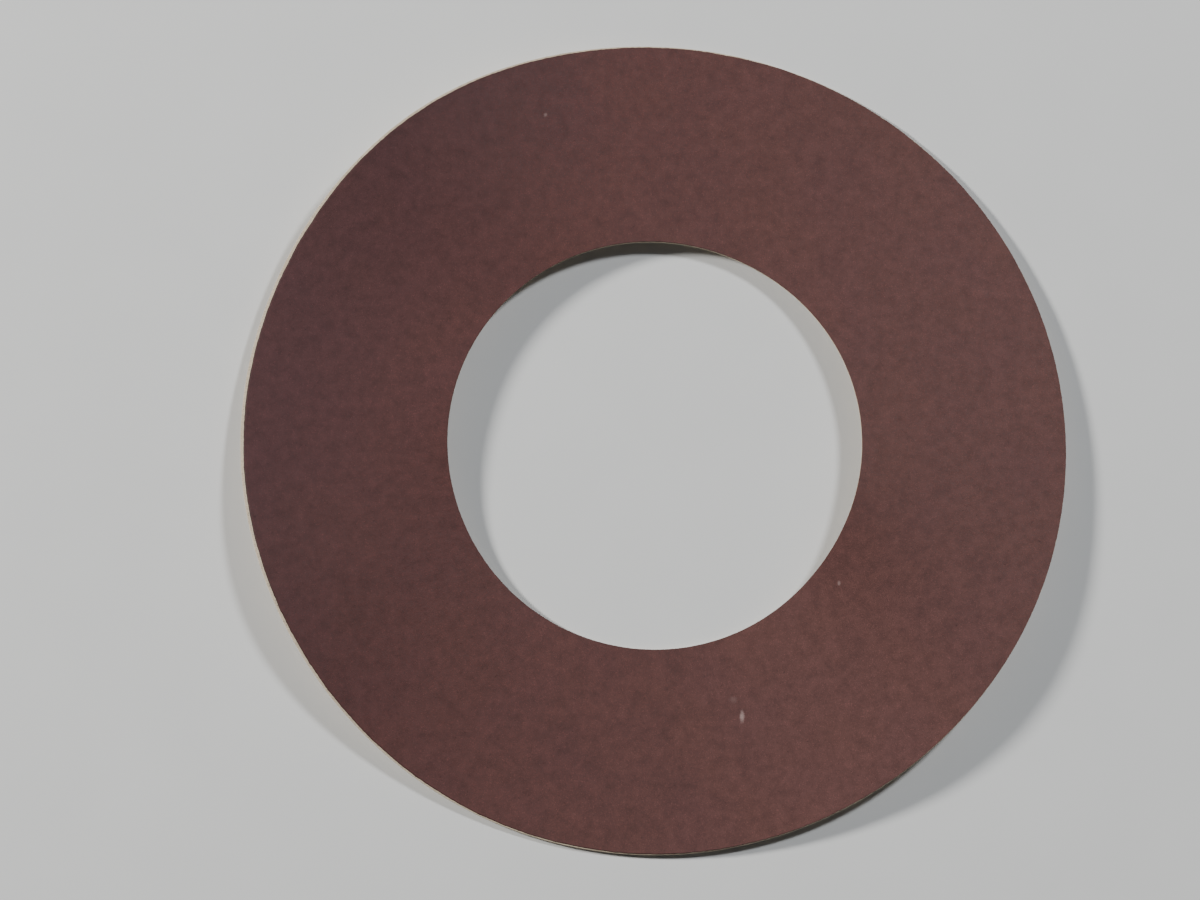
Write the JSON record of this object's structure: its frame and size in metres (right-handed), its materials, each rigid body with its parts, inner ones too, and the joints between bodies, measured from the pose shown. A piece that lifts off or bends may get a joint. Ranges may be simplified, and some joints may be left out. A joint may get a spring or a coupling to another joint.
{
  "type": "abrasive ring",
  "caption": "Flat die-cut ring of coated abrasive sheet: paper backing on one face, resin-bonded brown grain on the other, and a wide centre hole that clears a hub.",
  "frame": {"origin": "centre of the hole at the back face of the backing, which is the face that lies on a pad or a table", "axes": "+Z along the hole's axis and out of the abrasive side; X and Y lie in the sheet, and the ring is round about Z"},
  "size_m": [0.1, 0.1, 0.0004],
  "materials": {
    "backing_paper": "matte",
    "make_resin": "satin",
    "abrasive_grain": "matte",
    "size_resin": "matte"
  },
  "bodies": {
    "root": {"backing_sheet": "backing_paper", "make_coat": "make_resin", "grain_layer": "abrasive_grain", "size_coat": "size_resin"}
  },
  "joints": []
}
